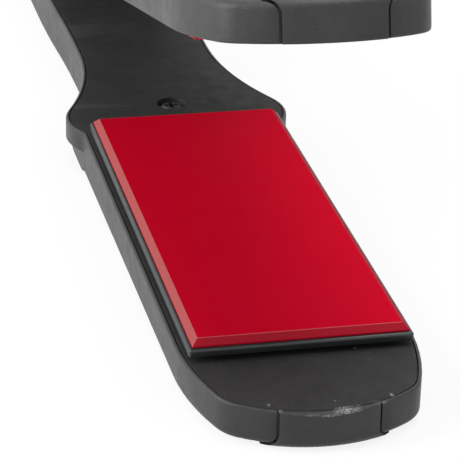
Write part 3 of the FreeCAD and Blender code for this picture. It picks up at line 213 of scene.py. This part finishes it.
def addBump(tree, shader, height, strength, distance):
    bump = tree.nodes.new("ShaderNodeBump")
    bump.inputs["Strength"].default_value = strength
    bump.inputs["Distance"].default_value = distance
    tree.links.new(height, bump.inputs["Height"])
    tree.links.new(bump.outputs["Normal"], shader.inputs["Normal"])


def mottled(tree, place, look):
    # the finish's colour, a little darker and lighter from place to place
    dark = tuple(c * (1 - look["vary"]) for c in look["colour"])
    light = tuple(min(1, c * (1 + look["vary"])) for c in look["colour"])
    return mixColour(tree, spread(tree, addNoise(tree, place, look["mottle"]), 0, 1), dark, light)


def addFlecks(tree, place, colour, flecks):
    # sparse pale flecks, as fine moulded plastic shows in strong light
    specks = addNoise(tree, place, flecks["size"], 1.0)
    share = spread(tree, specks, 0, flecks["strength"], flecks["from"], flecks["to"])
    return mixColour(tree, share, colour, flecks["colour"])


def addSpots(tree, place, colour, spots):
    # rubbed spots, each a soft ball round a place in the arm's frame, broken up by fine noise
    grain = addNoise(tree, place, spots["grain"], 4.0)
    rough = spread(tree, grain, 0, 1, *spots["broken"])
    spotPlace = inArm(tree, place, "lower")
    total = None
    for centre, reach, strength in spots["list"]:
        scaled = tree.nodes.new("ShaderNodeVectorMath")
        scaled.operation = "MULTIPLY"
        scaled.inputs[1].default_value = [1 / (length * mm) for length in reach]
        tree.links.new(spotPlace, scaled.inputs[0])
        far = tree.nodes.new("ShaderNodeVectorMath")
        far.operation = "DISTANCE"
        far.inputs[1].default_value = [at / length for at, length in zip(centre, reach)]
        tree.links.new(scaled.outputs["Vector"], far.inputs[0])
        near = spread(tree, far.outputs["Value"], strength, 0, 0.5, 1)
        total = near if total is None else arithmetic(tree, "MAXIMUM", total, near)
    return mixColour(tree, arithmetic(tree, "MULTIPLY", total, rough), colour, spots["colour"])


def finished(name, look):
    # one family for all surfaces: mottled colour, uneven gloss and a fine grain
    material, tree, shader, place = startMaterial(name)
    colour = mottled(tree, place, look)
    if "flecks" in look:
        colour = addFlecks(tree, place, colour, look["flecks"])
    if "spots" in look:
        colour = addSpots(tree, place, colour, look["spots"])
    # painted shade and highlights on the plate's chamfer
    if "chamfer" in look:
        colour = addChamfer(tree, colour, look["chamfer"])
    tree.links.new(colour, shader.inputs["Base Color"])
    patches = addNoise(tree, place, look["mottle"] * 0.4)
    tree.links.new(spread(tree, patches, *look["roughness"]), shader.inputs["Roughness"])
    addBump(tree, shader, addNoise(tree, place, look["grain"], 2.0), look["bump"], look["grain"] * 0.5)
    for socket in ("Metallic", "Coat Weight", "Coat Roughness"):
        if socket in look:
            shader.inputs[socket].default_value = look[socket]
    if "specular" in look:
        shader.inputs["Specular IOR Level"].default_value = look["specular"]
    return material


def addChamfer(tree, colour, chamfer):
    # painted shade and highlight on the slope round the working face, where the normal leans: a darker red
    # there as painted shade, paler pink where it faces left as a painted highlight, and a pale painted
    # highlight line along its upper edge
    place = tree.nodes.new("ShaderNodeTexCoord")
    parts = tree.nodes.new("ShaderNodeSeparateXYZ")
    tree.links.new(place.outputs["Normal"], parts.inputs[0])
    up = arithmetic(tree, "ABSOLUTE", parts.outputs["Z"], 0)

    def band(fadeIn, fadeOut):
        # 1 where the normal's upward part lies between the two fades
        return arithmetic(tree, "MULTIPLY", spread(tree, up, 1, 0, *fadeOut),
                          spread(tree, up, 0, 1, *fadeIn))

    # the slope band that carries the painted shade and the painted highlight
    leaning = band(*chamfer["slopeBand"])
    # painted highlight: paler pink where the slope's normal points left (-x)
    leftHighlightShare = spread(tree, parts.outputs["X"], 1, 0, *chamfer["leftHighlightBand"])
    slopeShadeAndHighlight = mixColour(tree, leftHighlightShare, chamfer["colour"], chamfer["paleWearAndHighlight"])
    # painted highlight: a pale line on the rounded edge between the slope and the flat face
    edge = band(*chamfer["edgeBand"])
    return mixColour(tree, edge, mixColour(tree, leaning, colour, slopeShadeAndHighlight), chamfer["edge"])


# the tip's front edge is rubbed pale where it is set down; small nicks lie on the rim and deck
# each spot: its middle and its reach along x, y and z, in mm in the lower arm's frame, and its strength
paleWearAndHighlight = {"colour": (0.34, 0.34, 0.35), "grain": 0.35 * mm, "broken": (0.38, 0.58),
          "list": [((2.7, -21.8, -4.15), (2.9, 1.6, 0.42), 0.85),
                   ((-0.3, -22.0, -4.45), (2.4, 1.2, 0.35), 0.60),
                   ((-3.0, -21.9, -4.3), (2.2, 1.2, 0.25), 0.25),
                   ((5.0, -20.9, -4.2), (0.9, 0.9, 0.30), 0.50),
                   ((8.6, -20.0, -4.2), (2.4, 1.0, 0.25), 0.35),
                   ((-8.7, -20.2, -4.1), (0.5, 0.8, 0.3), 0.40),
                   ((-10.2, -17.8, -4.0), (0.3, 0.6, 0.3), 0.60),
                   ((11.7, -18.0, -4.0), (0.4, 0.8, 0.4), 0.75),
                   ((9.9, 0.1, -4.0), (0.25, 0.5, 0.4), 0.80),
                   ((1.4, -18.4, -4.0), (0.25, 0.4, 0.4), 0.40)]}
plasticFlecks = {"size": 0.34 * mm, "from": 0.70, "to": 0.76, "strength": 0.22,
                 "colour": (0.20, 0.20, 0.205)}

finishes = {
    "shell": {"colour": (0.033, 0.033, 0.033), "vary": 0.12, "mottle": 9 * mm, "roughness": (0.40, 0.50),
              "grain": 0.28 * mm, "bump": 0.45, "specular": 0.26, "flecks": plasticFlecks, "spots": paleWearAndHighlight},
    "panel": {"colour": (0.033, 0.033, 0.033), "vary": 0.12, "mottle": 9 * mm, "roughness": (0.38, 0.48),
              "grain": 0.28 * mm, "bump": 0.40, "specular": 0.26, "flecks": plasticFlecks, "spots": paleWearAndHighlight},
    "deck": {"colour": (0.022, 0.0225, 0.022), "vary": 0.16, "mottle": 7 * mm, "roughness": (0.58, 0.74),
             "grain": 0.26 * mm, "bump": 0.55, "specular": 0.16, "flecks": plasticFlecks, "spots": paleWearAndHighlight},
    "trim": {"colour": (0.05, 0.05, 0.053), "vary": 0.1, "mottle": 5 * mm, "roughness": (0.3, 0.4),
             "grain": 0.3 * mm, "bump": 0.08},
    "plate": {"colour": (0.450, 0.0012, 0.0155), "vary": 0.012, "mottle": 14 * mm, "roughness": (0.50, 0.58),
              "grain": 0.25 * mm, "bump": 0.03, "specular": 0.01,
              # painted shade and highlight on the chamfer: colour is a darker red as painted shade, the
              # left-facing slope a paler pink as a painted highlight, the edge line a pale painted highlight
              "chamfer": {"colour": (0.35, 0.013, 0.026), "paleWearAndHighlight": (0.30, 0.070, 0.070),
                          "edge": (0.42, 0.12, 0.12), "leftHighlightBand": (-0.7, -0.3),
                          "slopeBand": ((0.15, 0.35), (0.80, 0.93)),
                          "edgeBand": ((0.78, 0.90), (0.975, 0.998))}},
    "carrier": {"colour": (0.016, 0.019, 0.020), "vary": 0.15, "mottle": 6 * mm, "roughness": (0.30, 0.42),
                "grain": 0.3 * mm, "bump": 0.08, "specular": 0.45},
    "heater": {"colour": (0.78, 0.77, 0.72), "vary": 0.05, "mottle": 3 * mm, "roughness": (0.5, 0.65),
               "grain": 0.2 * mm, "bump": 0.2},
    "insulator": {"colour": (0.62, 0.38, 0.08), "vary": 0.08, "mottle": 4 * mm, "roughness": (0.25, 0.4),
                  "grain": 0.3 * mm, "bump": 0.05},
    "spring_steel": {"colour": (0.55, 0.56, 0.57), "vary": 0.08, "mottle": 1 * mm, "roughness": (0.28, 0.4),
                     "grain": 0.1 * mm, "bump": 0.08, "Metallic": 1.0},
    "lead": {"colour": (0.75, 0.74, 0.70), "vary": 0.05, "mottle": 2 * mm, "roughness": (0.5, 0.6),
             "grain": 0.2 * mm, "bump": 0.1},
    "sensor": {"colour": (0.10, 0.10, 0.11), "vary": 0.1, "mottle": 1 * mm, "roughness": (0.4, 0.6),
               "grain": 0.2 * mm, "bump": 0.2},
    "fuse": {"colour": (0.72, 0.72, 0.74), "vary": 0.06, "mottle": 1 * mm, "roughness": (0.25, 0.4),
             "grain": 0.1 * mm, "bump": 0.06, "Metallic": 1.0},
    "screw": {"colour": (0.07, 0.07, 0.075), "vary": 0.2, "mottle": 0.8 * mm, "roughness": (0.45, 0.6),
              "grain": 0.08 * mm, "bump": 0.1, "Metallic": 1.0},
    "pin": {"colour": (0.60, 0.60, 0.62), "vary": 0.06, "mottle": 1 * mm, "roughness": (0.2, 0.3),
            "grain": 0.08 * mm, "bump": 0.05, "Metallic": 1.0},
    "gland": {"colour": (0.030, 0.030, 0.032), "vary": 0.12, "mottle": 3 * mm, "roughness": (0.6, 0.75),
              "grain": 0.2 * mm, "bump": 0.25},
    "board": {"colour": (0.02, 0.15, 0.05), "vary": 0.15, "mottle": 1.5 * mm, "roughness": (0.3, 0.45),
              "grain": 0.2 * mm, "bump": 0.1},
    "dial": {"colour": (0.035, 0.035, 0.038), "vary": 0.12, "mottle": 2 * mm, "roughness": (0.42, 0.55),
             "grain": 0.2 * mm, "bump": 0.15},
    "component_body": {"colour": (0.03, 0.03, 0.03), "vary": 0.15, "mottle": 2 * mm, "roughness": (0.5, 0.6),
                       "grain": 0.2 * mm, "bump": 0.2},
    "button": {"colour": (0.05, 0.05, 0.053), "vary": 0.1, "mottle": 2 * mm, "roughness": (0.3, 0.4),
               "grain": 0.2 * mm, "bump": 0.08},
    "lens": {"colour": (0.55, 0.03, 0.02), "vary": 0.08, "mottle": 1 * mm, "roughness": (0.08, 0.15),
             "grain": 0.2 * mm, "bump": 0.03},
    "diode": {"colour": (0.60, 0.04, 0.03), "vary": 0.08, "mottle": 1 * mm, "roughness": (0.1, 0.2),
              "grain": 0.2 * mm, "bump": 0.03},
    "capacitor": {"colour": (0.45, 0.28, 0.04), "vary": 0.1, "mottle": 2 * mm, "roughness": (0.3, 0.4),
                  "grain": 0.2 * mm, "bump": 0.08},
}


def paintNodes():
    slots = {part["node"]: part["material_slot"] for part in frame["record"]["subparts"]}
    made = {name: finished(name, look) for name, look in finishes.items()}
    for node, item in nodes.items():
        item.data.materials.clear()
        item.data.materials.append(made[slots[node]])
    print("painted", len(nodes), "nodes with", len(made), "finishes")


# moulded edges are soft: widths of the rounding, in metres
softEdges = {"outer_shell": 0.40 * mm, "outer_panel": 0.40 * mm, "deck": 0.25 * mm,
             "plate_carrier": 0.15 * mm, "plate": 0.08 * mm}


weldReach = 0.002 * mm
sharpFrom = 35      # degrees; flatter edges stay as they are


def softenEdges():
    for arm in arms:
        for piece, width in softEdges.items():
            item = nodes[f"{arm}_{piece}"]
            weld = item.modifiers.new("weld", "WELD")
            weld.merge_threshold = weldReach
            bevel = item.modifiers.new("softEdge", "BEVEL")
            bevel.width = width
            bevel.segments = 2
            bevel.limit_method = "ANGLE"
            bevel.angle_limit = math.radians(sharpFrom)
            bevel.profile = 0.5
            bevel.use_clamp_overlap = True
    print("edges softened on", len(arms) * len(softEdges), "nodes")


makeCamera()
makeLight()
makeFloor()
paintNodes()
softenEdges()
